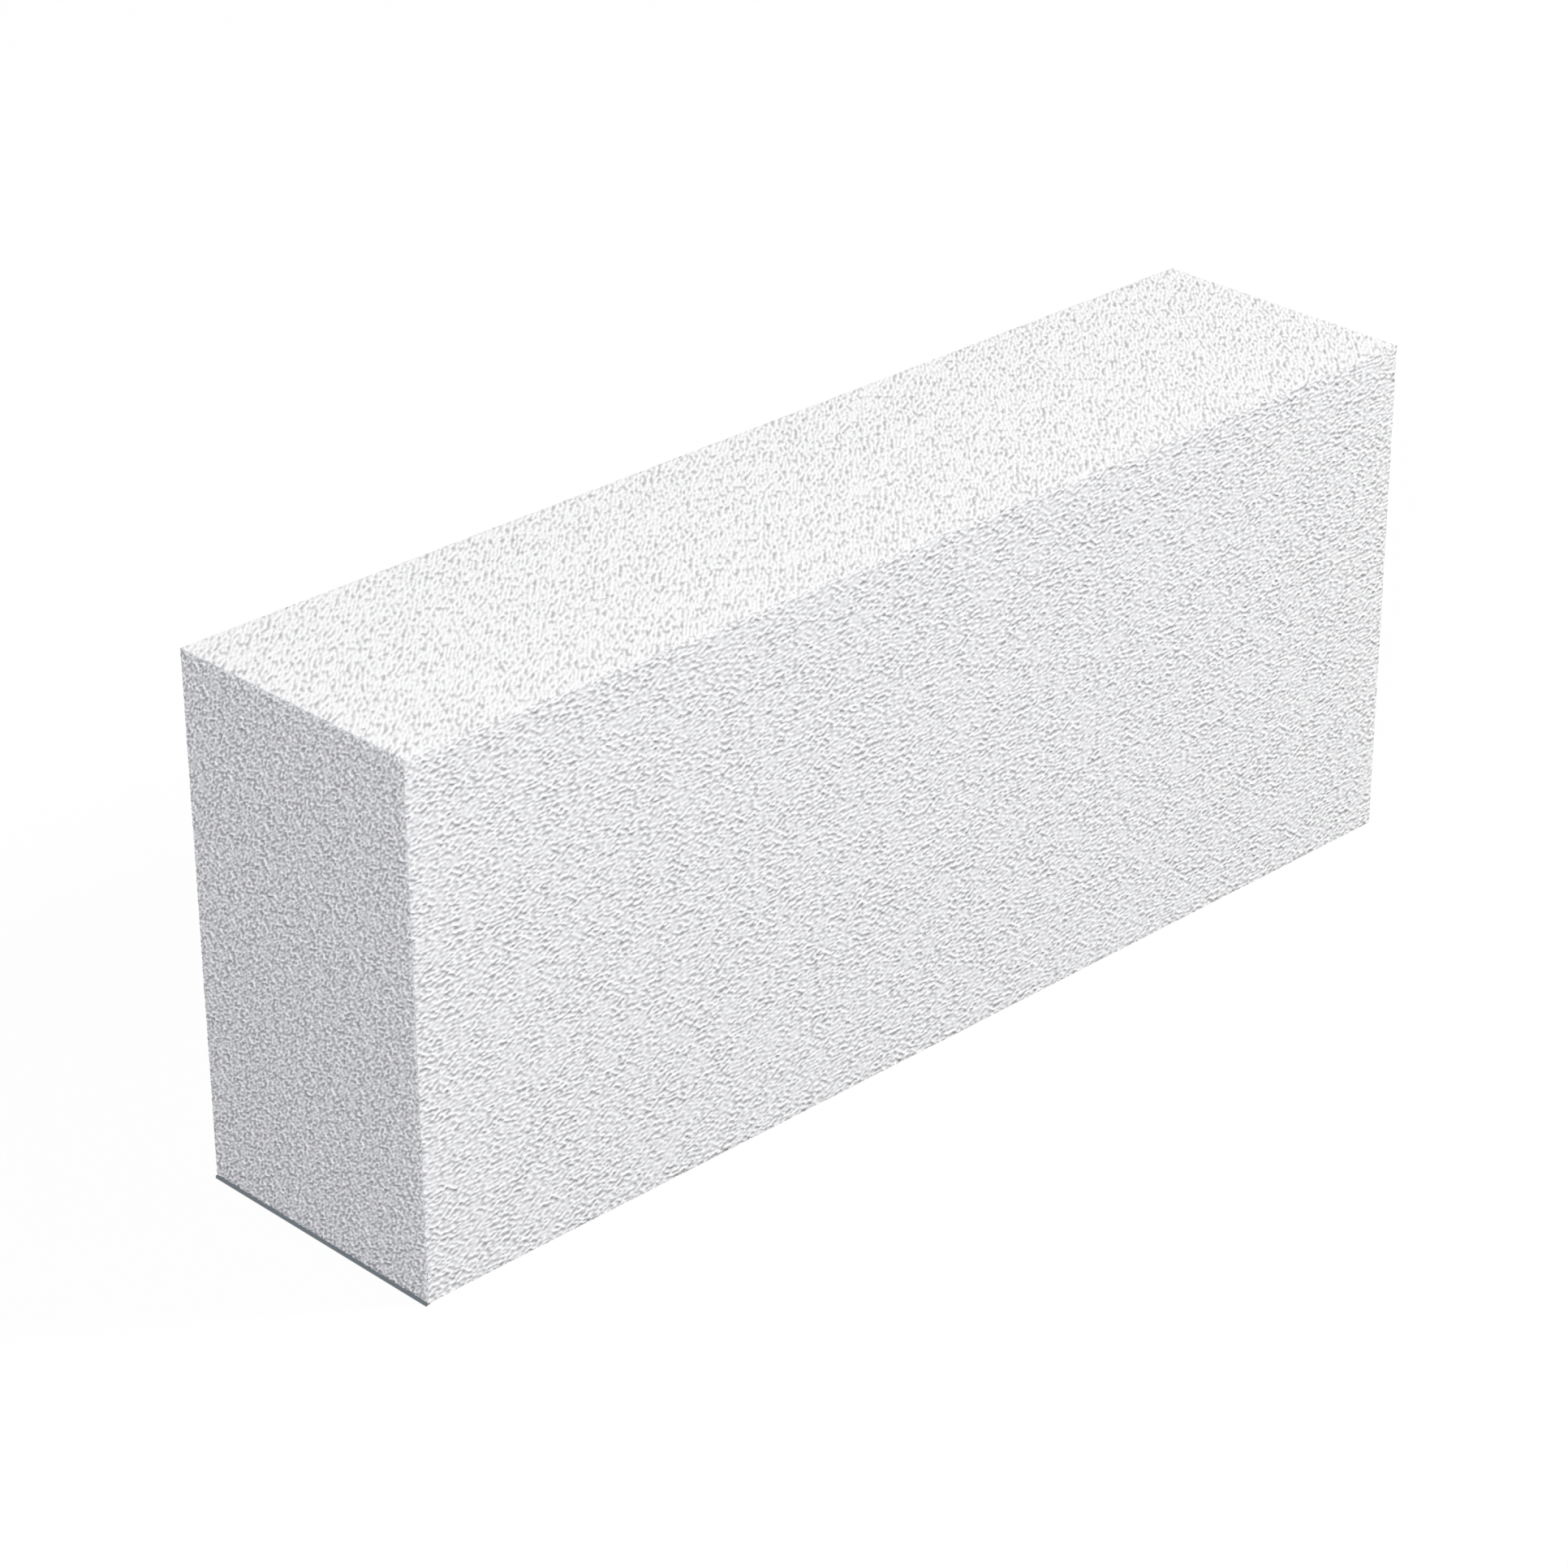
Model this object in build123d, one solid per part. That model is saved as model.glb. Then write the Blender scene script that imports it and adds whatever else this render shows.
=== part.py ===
from build123d import *

import os

# A plain aerated concrete wall block, cut as one piece and standing on its bed face.
# Millimetres. The origin is the middle of the lower bed face: X runs along the block's
# length, Y through its thickness and Z up.

# The block over its flat faces
LENGTH = 600.0
THICKNESS = 140.0
HEIGHT = 250.0

# The arris, the narrow break that cutting and handling leave along every edge
ARRIS = 0.5


def cut_block():
    """The block as it leaves the cutting wires, with dead square edges."""
    bed_outline = Rectangle(LENGTH, THICKNESS)
    return extrude(bed_outline, amount=HEIGHT)


def broken_arrises(block):
    """The same block with the arris taken off each edge, by as much on both faces."""
    return chamfer(block.edges(), length=ARRIS)


os.makedirs("parts", exist_ok=True)
export_step(broken_arrises(cut_block()), "parts/block.step")
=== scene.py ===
import math

import bpy
from mathutils import Matrix, Vector


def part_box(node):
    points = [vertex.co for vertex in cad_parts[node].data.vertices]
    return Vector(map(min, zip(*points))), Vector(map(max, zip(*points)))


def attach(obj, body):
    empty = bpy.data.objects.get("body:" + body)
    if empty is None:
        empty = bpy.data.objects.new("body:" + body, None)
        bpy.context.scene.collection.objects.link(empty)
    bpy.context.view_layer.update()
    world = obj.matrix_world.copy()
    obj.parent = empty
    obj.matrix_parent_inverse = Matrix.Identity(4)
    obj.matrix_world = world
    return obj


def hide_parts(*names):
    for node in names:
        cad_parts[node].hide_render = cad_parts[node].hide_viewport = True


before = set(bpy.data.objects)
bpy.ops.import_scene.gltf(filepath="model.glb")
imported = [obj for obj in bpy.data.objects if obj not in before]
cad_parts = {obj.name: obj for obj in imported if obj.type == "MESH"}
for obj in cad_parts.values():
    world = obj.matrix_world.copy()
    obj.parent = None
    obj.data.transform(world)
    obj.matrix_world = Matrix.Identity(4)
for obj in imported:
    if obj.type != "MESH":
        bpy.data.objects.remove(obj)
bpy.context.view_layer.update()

# Metres from here on
MM = 0.001

# The block's axes, as a vector numbers them
AXES = range(3)
ALONG, THROUGH, UP = AXES

# The block's mesh
CELL = 2.85 * MM                # side of the squares that the faces are divided into
MOST_PIECES = 100               # that one subdivide can make of an edge
ARRIS = 0.5 * MM                # the break along each edge, as wide as on the solid
ARRIS_PIECES = 6                # that the arris and its margin are divided into along each cell
MARGIN = 1.0 * MM               # strip of a face beside the arris, as far as crumbs reach
ARRIS_SHADES = math.radians(35)  # edges turned further than this stay crisp
STRAIGHT = 0.99                 # share of a direction that lies on an axis when it runs along it

# Relief pressed into the mesh: size of a bump, greatest depth below the solid's face
WAVER = (70 * MM, 0.35 * MM)    # slow wander of the cutting wire
WRINKLE = (5 * MM, 0.2 * MM)    # wrinkles that the wire tears in the surface
CRUMBLE = (0.9 * MM, 0.55 * MM)  # crumbs lost along the arrises
CRUMBLE_BRIGHT = 1.15           # how much of the arris is left whole
CRUMBLE_CONTRAST = 4.0          # how steep a crumb is

# The finish of a cut face: its pits to the metre, the turn that lays them on it, how they are drawn
# out, the share of their depth that they have in the smoothest patch and in the roughest, the heights
# between which the colour goes from a pit's painted shade to the rim's colour, and the depth of the
# relief
QUARTER = math.radians(90)
SIDE_CUT = {
    "per_metre": 580, "turn": (QUARTER, 0, 0), "drawn_out": (1.35, 1, 1), "torn": (0.45, 1.55),
    "pit_to_rim": (-0.55, 0.35), "pit": (0.62, 0.62, 0.623, 1), "rim": (0.91, 0.91, 0.91, 1),
    "depth": 0.58 * MM,
}
# The ends' pits are painted darkest, which leaves the ends darker overall than the sides and beds
END_CUT = {
    "per_metre": 850, "turn": (QUARTER, math.radians(40), QUARTER), "drawn_out": (2.1, 1, 1),
    "torn": (0.45, 1.55), "pit_to_rim": (-0.36, 0.50), "pit": (0.49, 0.49, 0.497, 1),
    "rim": (0.99, 0.99, 1.0, 1), "depth": 0.6 * MM,
}
BED_CUT = {
    "per_metre": 660, "turn": (0, 0, math.radians(45)), "drawn_out": (2.8, 1, 1), "torn": (0.6, 1.4),
    "pit_to_rim": (-0.62, -0.05), "pit": (0.54, 0.54, 0.537, 1), "rim": (0.857, 0.857, 0.85, 1),
    "depth": 0.5 * MM,
}
BROKEN_ARRIS = {
    "per_metre": 800, "turn": (math.radians(35), math.radians(35), 0), "drawn_out": (1, 1, 1),
    "torn": (0.45, 1.55), "pit_to_rim": (-0.50, 0.50), "pit": (0.60, 0.60, 0.60, 1),
    "rim": (0.86, 0.86, 0.86, 1), "depth": 0.8 * MM,
}
PIT_SHARE = 0.85                # of the relief's depth that the pits make, and the pores
PORE_SHARE = 0.30
PORES_PER_METRE = 330
PORE_TO_WALL = (-0.56, -0.36)   # the lower these are, the fewer the pores
PATCHES_PER_METRE = 210         # where the wire tore the face more, or less
NOISE_REACH = 0.6               # noise seldom goes further from zero than this
DULL = 0.98                     # roughness at the bottom of the relief and at its top
LESS_DULL = 0.84
SHINE = 0.25
WHITE = (1, 1, 1, 1)
MIX_COLOURS = (6, 7)            # a Mix node's sockets for the two colours that it mixes
MIX_RESULT = 2                  # its socket for the colour that comes out

# Camera: the direction it looks from, what it looks at and how far away it stands
VIEW_AZIMUTH = math.radians(-44.0445)
VIEW_ELEVATION = math.radians(27.3117)
VIEW_ROLL = math.radians(-0.3033)
AIM = Vector((0.0149, 0.0453, 0.0826))
VIEW_DISTANCE = 2.1571
LENS = 108.44                   # millimetres, as the sensor's width
SENSOR_WIDTH = 36.0

# Studio lamps: where the light comes from, as long as what a white surface facing it sends back
KEY_FROM = Vector((0.46, -0.36, 0.35))
KEY_COLOUR = (1.0, 1.0, 0.99)
FILL_FROM = Vector((-0.40, -0.26, 0.26))
FILL_COLOUR = (1.0, 1.007, 1.06)
BACK_FROM = Vector((0.0, 0.4, 0.05))
BACK_COLOUR = (1.0, 1.0, 1.0)
LAMP_DISTANCE = 4.0
LAMP_WIDTH = 0.9
SKY_COLOUR = (0.50, 0.50, 0.505, 1.0)

# Studio floor, and the shadow painted on it along the foot of the near end
FLOOR_SIDE = 30.0
FLOOR_COLOUR = (0.2, 0.2, 0.2, 1.0)       # what it throws back on the block
FLOOR_LOOK = (0.95, 0.95, 0.95, 1.0)      # what the camera sees where it is lit
FLOOR_GLOW_SHARE = 0.93                   # of the white that the camera sees whether it is lit or not
SHADOW_LINE_WIDTH = 1.2 * MM                  # of the shadow painted as a dark line on the ground along the foot of the near end
SHADOW_LINE_SOFT = 0.4 * MM                   # width over which its border fades
NEAR_SLANT = 0.43                         # how far its two ends slant, for each metre away from the foot
FAR_SLANT = 1.17
# colour of the painted shadow line
SHADOW_LINE_COLOUR = (0.154, 0.177, 0.195, 1.0)


def clear_selection(kind):
    """Deselects all of the piece in hand, and sets edit mode to select faces or edges."""
    bpy.ops.object.mode_set(mode="EDIT")
    bpy.ops.mesh.select_mode(type=kind)
    bpy.ops.mesh.select_all(action="DESELECT")
    bpy.ops.object.mode_set(mode="OBJECT")


def runs_along(direction, axes):
    """Whether a direction runs along one of the axes."""
    return any(abs(direction[axis]) > STRAIGHT for axis in axes)


def select_faces(piece, wanted):
    """Leaves the piece in edit mode with the faces selected whose normals are wanted."""
    clear_selection("FACE")
    for face in piece.data.polygons:
        face.select = wanted(face.normal)
    bpy.ops.object.mode_set(mode="EDIT")


def select_edges(piece, axis):
    """Leaves the piece in edit mode with the edges selected that run along one axis."""
    clear_selection("EDGE")
    corners = piece.data.vertices
    for edge in piece.data.edges:
        run = corners[edge.vertices[1]].co - corners[edge.vertices[0]].co
        edge.select = runs_along(run.normalized(), [axis])
    bpy.ops.object.mode_set(mode="EDIT")


def divide(piece, axis, length):
    """Cuts the edges along one axis into cells, in two goes where one can't make so many."""
    bands = math.ceil(length / CELL / MOST_PIECES)
    cells = round(length / CELL / bands)
    for pieces in (bands, cells):
        if pieces > 1:
            select_edges(piece, axis)
            bpy.ops.mesh.subdivide(number_cuts=pieces - 1)
            bpy.ops.object.mode_set(mode="OBJECT")


def divide_arrises(piece):
    """Sets a margin off on each face beside the arrises, and cuts both into finer pieces along them."""
    select_faces(piece, lambda normal: runs_along(normal, AXES))
    bpy.ops.mesh.inset(thickness=MARGIN, use_select_inset=True)
    bpy.ops.mesh.region_to_loop()
    bpy.ops.mesh.subdivide(number_cuts=ARRIS_PIECES - 1, ngon=False, quadcorner="FAN")
    bpy.ops.object.mode_set(mode="OBJECT")


def add_node(tree, kind, sockets=None, **settings):
    """One node of a material, with its settings and the values of its sockets."""
    made = tree.nodes.new(kind)
    for name, value in settings.items():
        setattr(made, name, value)
    for name, value in (sockets or {}).items():
        made.inputs[name].default_value = value
    return made


def maths(tree, operation, *values):
    """A Math node on its values, each a socket or a number."""
    made = add_node(tree, "ShaderNodeMath", operation=operation)
    for socket, value in zip(made.inputs, values):
        if isinstance(value, bpy.types.NodeSocket):
            tree.links.new(value, socket)
        else:
            socket.default_value = value
    return made.outputs[0]


def ramp(tree, value, start, end, low=0.0, high=1.0):
    """Takes a value that goes from start to end and makes it go evenly from low to high."""
    sockets = {"From Min": start, "From Max": end, "To Min": low, "To Max": high}
    made = add_node(tree, "ShaderNodeMapRange", sockets)
    tree.links.new(value, made.inputs["Value"])
    return made.outputs[0]


def noise(tree, place, per_metre, dimensions="3D"):
    """Smooth even noise about zero, with so many bumps to the metre."""
    made = add_node(tree, "ShaderNodeTexNoise", {"Scale": per_metre, "Detail": 0.0},
                    noise_dimensions=dimensions, normalize=False)
    tree.links.new(place, made.inputs["Vector"])
    return made.outputs["Fac"]


def colour_mix(tree, factor, first, second):
    """One colour giving way to another as the factor goes from 0 to 1."""
    made = add_node(tree, "ShaderNodeMix", data_type="RGBA")
    for number, colour in zip(MIX_COLOURS, (first, second)):
        made.inputs[number].default_value = colour
    tree.links.new(factor, made.inputs["Factor"])
    return made.outputs[MIX_RESULT]


def aerated_concrete(name, finish):
    """A cut face of the block: shallow pits drawn out along the cut, a few deeper pores, shade painted
    in them.
    """
    material = bpy.data.materials.new(name)
    material.use_nodes = True
    tree = material.node_tree
    shader = tree.nodes["Principled BSDF"]
    place = add_node(tree, "ShaderNodeTexCoord").outputs["Object"]
    lie = {"Rotation": finish["turn"], "Scale": finish["drawn_out"]}
    along = add_node(tree, "ShaderNodeMapping", lie, vector_type="TEXTURE")
    tree.links.new(place, along.inputs["Vector"])

    pits = noise(tree, along.outputs[0], finish["per_metre"], "2D")
    patches = noise(tree, place, PATCHES_PER_METRE)
    torn = ramp(tree, patches, -NOISE_REACH, NOISE_REACH, *finish["torn"])
    pores = ramp(tree, noise(tree, place, PORES_PER_METRE), *PORE_TO_WALL, -1.0, 0.0)
    height = maths(tree, "MULTIPLY", maths(tree, "MULTIPLY", pits, torn), PIT_SHARE)
    height = maths(tree, "ADD", height, maths(tree, "MULTIPLY", pores, PORE_SHARE))

    bump = add_node(tree, "ShaderNodeBump", {"Strength": 1.0, "Distance": finish["depth"]})
    tree.links.new(height, bump.inputs["Height"])
    tree.links.new(bump.outputs["Normal"], shader.inputs["Normal"])

    # Painted shade: the colour darkens towards the bottom of the relief, in the pits and pores
    colour_with_painted_pit_shade = colour_mix(tree, ramp(tree, height, *finish["pit_to_rim"]), finish["pit"], finish["rim"])
    tree.links.new(colour_with_painted_pit_shade, shader.inputs["Base Color"])
    tree.links.new(ramp(tree, height, -1.0, 1.0, DULL, LESS_DULL), shader.inputs["Roughness"])
    shader.inputs["Specular IOR Level"].default_value = SHINE
    return material


def relief(piece, name, size_and_depth, group="", bright=1.0, contrast=1.0):
    """Presses a cloudy relief into the piece, nowhere above the faces it had."""
    size, depth = size_and_depth
    texture = bpy.data.textures.new(name, type="CLOUDS")
    texture.noise_basis = "IMPROVED_PERLIN"
    texture.noise_scale = size
    texture.intensity = bright
    texture.contrast = contrast
    texture.use_clamp = True
    bpy.ops.object.modifier_add(type="DISPLACE")
    press = piece.modifiers[-1]
    press.texture = texture
    press.texture_coords = "LOCAL"
    press.direction = "NORMAL"
    press.mid_level = 1.0
    press.strength = depth
    press.vertex_group = group
    bpy.ops.object.modifier_apply(modifier=press.name)


def broken_cube(low, high):
    """A cube as large as the solid, with its arrises broken."""
    bpy.ops.object.select_all(action="DESELECT")
    bpy.ops.mesh.primitive_cube_add(size=1.0, location=(low + high) / 2, scale=high - low)
    bpy.ops.object.transform_apply(location=True, rotation=True, scale=True)
    bpy.ops.object.mode_set(mode="EDIT")
    bpy.ops.mesh.select_all(action="SELECT")
    bpy.ops.mesh.bevel(offset=ARRIS, offset_type="OFFSET", segments=1, affect="EDGES")
    bpy.ops.object.mode_set(mode="OBJECT")
    return bpy.context.object


def finish_faces(piece):
    """Gives the sides, the ends, the beds and the arrises that are left between them their finishes."""
    finishes = (
        ("broken_arris", BROKEN_ARRIS, lambda normal: True),
        ("side_cut", SIDE_CUT, lambda normal: runs_along(normal, [THROUGH])),
        ("end_cut", END_CUT, lambda normal: runs_along(normal, [ALONG])),
        ("bed_cut", BED_CUT, lambda normal: runs_along(normal, [UP])),
    )
    for number, (name, finish, wanted) in enumerate(finishes):
        piece.data.materials.append(aerated_concrete(name, finish))
        select_faces(piece, wanted)
        piece.active_material_index = number
        bpy.ops.object.material_slot_assign()
    bpy.ops.object.mode_set(mode="OBJECT")


def arris_points(piece):
    """Makes a group of the points along the arrises, and gives its name."""
    bpy.ops.object.mode_set(mode="EDIT")
    bpy.ops.mesh.select_all(action="DESELECT")
    piece.active_material_index = piece.data.materials.find("broken_arris")
    bpy.ops.object.material_slot_select()
    bpy.ops.object.vertex_group_assign_new()
    bpy.ops.object.mode_set(mode="OBJECT")
    return piece.vertex_groups[0].name


def cut_block():
    """The block: finished on every face, divided into cells, wavering, wrinkled and crumbled."""
    low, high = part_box("block")
    piece = broken_cube(low, high)
    piece.name = "cut_block"
    finish_faces(piece)
    for axis in AXES:
        divide(piece, axis, high[axis] - low[axis] - 2 * ARRIS)
    divide_arrises(piece)

    arrises = arris_points(piece)
    relief(piece, "waver", WAVER)
    relief(piece, "wrinkle", WRINKLE)
    relief(piece, "crumble", CRUMBLE, arrises, CRUMBLE_BRIGHT, CRUMBLE_CONTRAST)
    bpy.ops.object.shade_smooth_by_angle(angle=ARRIS_SHADES)

    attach(piece, "root")
    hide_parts("block")


def is_seen(tree):
    """A factor that is 1 for what the camera sees, straight or in gloss and glass, and 0 for light."""
    path = add_node(tree, "ShaderNodeLightPath")
    seen = maths(tree, "MAXIMUM", path.outputs["Is Camera Ray"], path.outputs["Is Glossy Ray"])
    return maths(tree, "MAXIMUM", seen, path.outputs["Is Transmission Ray"])


def shader_mix(tree, factor, first, second):
    """One shader giving way to another as the factor goes from 0 to 1."""
    made = add_node(tree, "ShaderNodeMixShader")
    tree.links.new(factor, made.inputs["Fac"])
    tree.links.new(first.outputs[0], made.inputs[1])
    tree.links.new(second.outputs[0], made.inputs[2])
    return made


def painted_shadow_line(tree):
    """A factor that is 1 where a shadow is painted on the ground close to the foot of the near end, and
    0 elsewhere.
    """
    low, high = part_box("block")
    place = add_node(tree, "ShaderNodeSeparateXYZ")
    tree.links.new(add_node(tree, "ShaderNodeTexCoord").outputs["Object"], place.inputs[0])
    away = maths(tree, "SUBTRACT", low.x, place.outputs["X"])
    outside = maths(tree, "MAXIMUM", away, 0.0)
    near = maths(tree, "MULTIPLY_ADD", outside, NEAR_SLANT, place.outputs["Y"])
    far = maths(tree, "MULTIPLY_ADD", outside, FAR_SLANT, place.outputs["Y"])
    close = maths(tree, "ABSOLUTE", away)
    line = ramp(tree, close, SHADOW_LINE_WIDTH, SHADOW_LINE_WIDTH + SHADOW_LINE_SOFT, 1.0, 0.0)
    line = maths(tree, "MULTIPLY", line, ramp(tree, near, low.y, low.y + SHADOW_LINE_SOFT))
    return maths(tree, "MULTIPLY", line, ramp(tree, far, high.y - SHADOW_LINE_SOFT, high.y, 1.0, 0.0))


def studio_floor():
    """A floor that looks white, keeps the block's shadow and throws little light back on the block."""
    bpy.ops.object.select_all(action="DESELECT")
    bpy.ops.mesh.primitive_plane_add(size=FLOOR_SIDE, location=(0, 0, 0))
    floor = bpy.context.object
    floor.name = "floor"
    material = bpy.data.materials.new("white_floor")
    material.use_nodes = True
    tree = material.node_tree
    tree.nodes.clear()
    seen = is_seen(tree)
    matte = add_node(tree, "ShaderNodeBsdfDiffuse")
    tree.links.new(colour_mix(tree, seen, FLOOR_COLOUR, FLOOR_LOOK), matte.inputs["Color"])
    glow = add_node(tree, "ShaderNodeEmission", {"Color": WHITE})
    ground = shader_mix(tree, maths(tree, "MULTIPLY", seen, FLOOR_GLOW_SHARE), matte, glow)
    # Painted shadow: a dark glow along the foot of the near end, seen by the camera only
    line = add_node(tree, "ShaderNodeEmission", {"Color": SHADOW_LINE_COLOUR})
    ground = shader_mix(tree, maths(tree, "MULTIPLY", seen, painted_shadow_line(tree)), ground, line)
    out = add_node(tree, "ShaderNodeOutputMaterial")
    tree.links.new(ground.outputs[0], out.inputs["Surface"])
    floor.data.materials.append(material)


def lamp(name, come_from, colour):
    """A round soft lamp that faces the block from one direction."""
    light = bpy.data.lights.new(name, type="AREA")
    light.shape = "DISK"
    light.size = LAMP_WIDTH
    light.energy = come_from.length * (math.pi * LAMP_DISTANCE) ** 2
    light.color = colour
    holder = bpy.data.objects.new(name, light)
    holder.location = come_from.normalized() * LAMP_DISTANCE
    holder.rotation_euler = come_from.to_track_quat("Z", "Y").to_euler()
    bpy.context.scene.collection.objects.link(holder)


def studio_light():
    """A key lamp at the front right, a fill on the left, another behind, and a sky that looks white."""
    lamp("key", KEY_FROM, KEY_COLOUR)
    lamp("fill", FILL_FROM, FILL_COLOUR)
    lamp("back", BACK_FROM, BACK_COLOUR)

    world = bpy.data.worlds.new("studio")
    bpy.context.scene.world = world
    world.use_nodes = True
    tree = world.node_tree
    tree.nodes.clear()
    sky = add_node(tree, "ShaderNodeBackground", {"Color": SKY_COLOUR})
    white = add_node(tree, "ShaderNodeBackground", {"Color": WHITE})
    out = add_node(tree, "ShaderNodeOutputWorld")
    tree.links.new(shader_mix(tree, is_seen(tree), sky, white).outputs[0], out.inputs["Surface"])


def photo_camera():
    """The camera, at the photograph's viewing angle and framing."""
    back = Vector((
        math.sin(VIEW_AZIMUTH) * math.cos(VIEW_ELEVATION),
        -math.cos(VIEW_AZIMUTH) * math.cos(VIEW_ELEVATION),
        math.sin(VIEW_ELEVATION),
    ))
    right = Vector((math.cos(VIEW_AZIMUTH), math.sin(VIEW_AZIMUTH), 0))
    axes = Matrix((right, back.cross(right), back)).transposed()
    lens = bpy.data.cameras.new("camera")
    lens.lens = LENS
    lens.sensor_width = SENSOR_WIDTH
    camera = bpy.data.objects.new("camera", lens)
    turned = axes.to_4x4() @ Matrix.Rotation(VIEW_ROLL, 4, "Z")
    camera.matrix_world = Matrix.Translation(AIM + back * VIEW_DISTANCE) @ turned
    bpy.context.scene.collection.objects.link(camera)
    bpy.context.scene.camera = camera


photo_camera()
studio_light()
studio_floor()
cut_block()
bpy.context.scene.view_settings.view_transform = "Standard"
